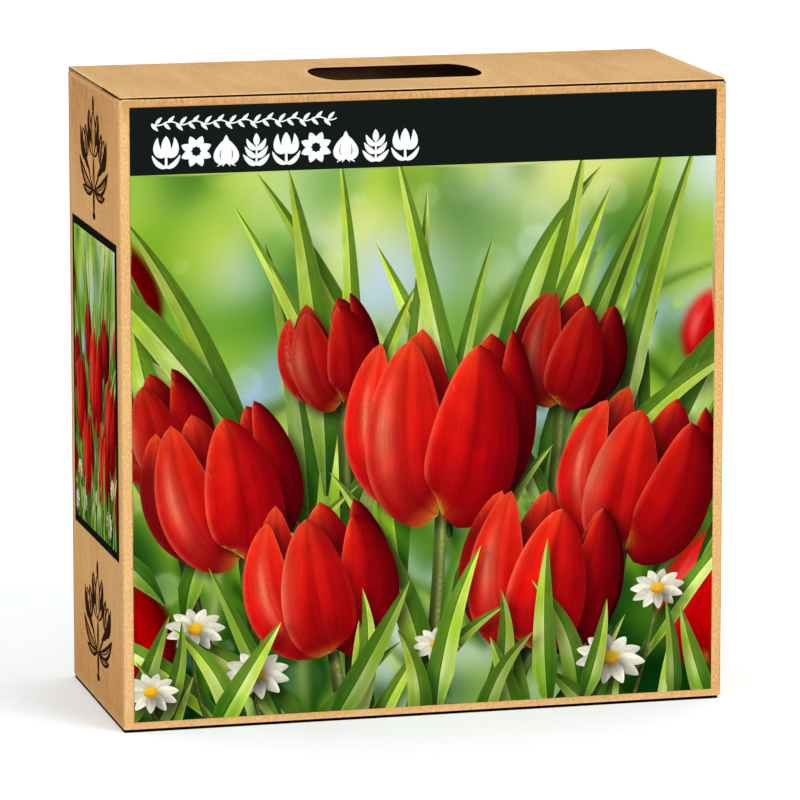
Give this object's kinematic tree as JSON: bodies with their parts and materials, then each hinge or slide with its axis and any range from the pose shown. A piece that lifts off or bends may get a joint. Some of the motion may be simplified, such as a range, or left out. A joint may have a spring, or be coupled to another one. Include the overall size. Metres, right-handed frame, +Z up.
{
  "type": "printed cardboard carton",
  "caption": "Upright kraft carton for crown imperial bulbs: tuck-in lid with an oval-ended hand slot, dust flaps, printed front and side labels.",
  "frame": {"origin": "middle of the footprint, on the surface the carton stands on", "axes": "+Z up; the printed front faces -Y; +X to the right as the front is looked at; the lid's crease is along X at the top of the back wall"},
  "size_m": [0.3006, 0.1262, 0.308],
  "materials": {
    "kraft_board": "matt kraft liner on fine corrugated board",
    "printed_label": "satin printed paper",
    "bulb_scale": "matt, fleshy, with brown skin patches"
  },
  "bodies": {
    "root": {"carton_sleeve": "kraft_board", "glue_flap": "kraft_board", "bottom_outer_panel": "kraft_board", "bottom_inner_panel": "kraft_board", "bottom_dust_flap_left": "kraft_board", "bottom_dust_flap_right": "kraft_board", "front_label": "printed_label", "side_label_left": "printed_label", "side_label_right": "printed_label", "bulb_left": "bulb_scale", "bulb_middle": "bulb_scale", "bulb_right": "bulb_scale"},
    "lid": {"lid_panel": "kraft_board"},
    "tuck": {"tuck_flap": "kraft_board"},
    "dust_left": {"dust_flap_left": "kraft_board"},
    "dust_right": {"dust_flap_right": "kraft_board"}
  },
  "joints": [
    {"name": "lid_hinge", "type": "hinge", "parent": "root", "child": "lid", "pos_m": [0, 0.063, 0.308], "axis": [-1, 0, 0], "range_deg": [0, 180]},
    {"name": "tuck_fold", "type": "hinge", "parent": "lid", "child": "tuck", "pos_m": [0, -0.06125, 0.30615], "axis": [-1, 0, 0], "range_deg": [0, 81]},
    {"name": "dust_left_fold", "type": "hinge", "parent": "root", "child": "dust_left", "pos_m": [-0.14845, 0, 0.3052], "axis": [0, 1, 0], "range_deg": [0, 88]},
    {"name": "dust_right_fold", "type": "hinge", "parent": "root", "child": "dust_right", "pos_m": [0.14845, 0, 0.3052], "axis": [0, -1, 0], "range_deg": [0, 88]}
  ],
  "couplings": [
    {"joint": "tuck_fold", "follows": "lid_hinge", "ratio": 0.45}
  ]
}
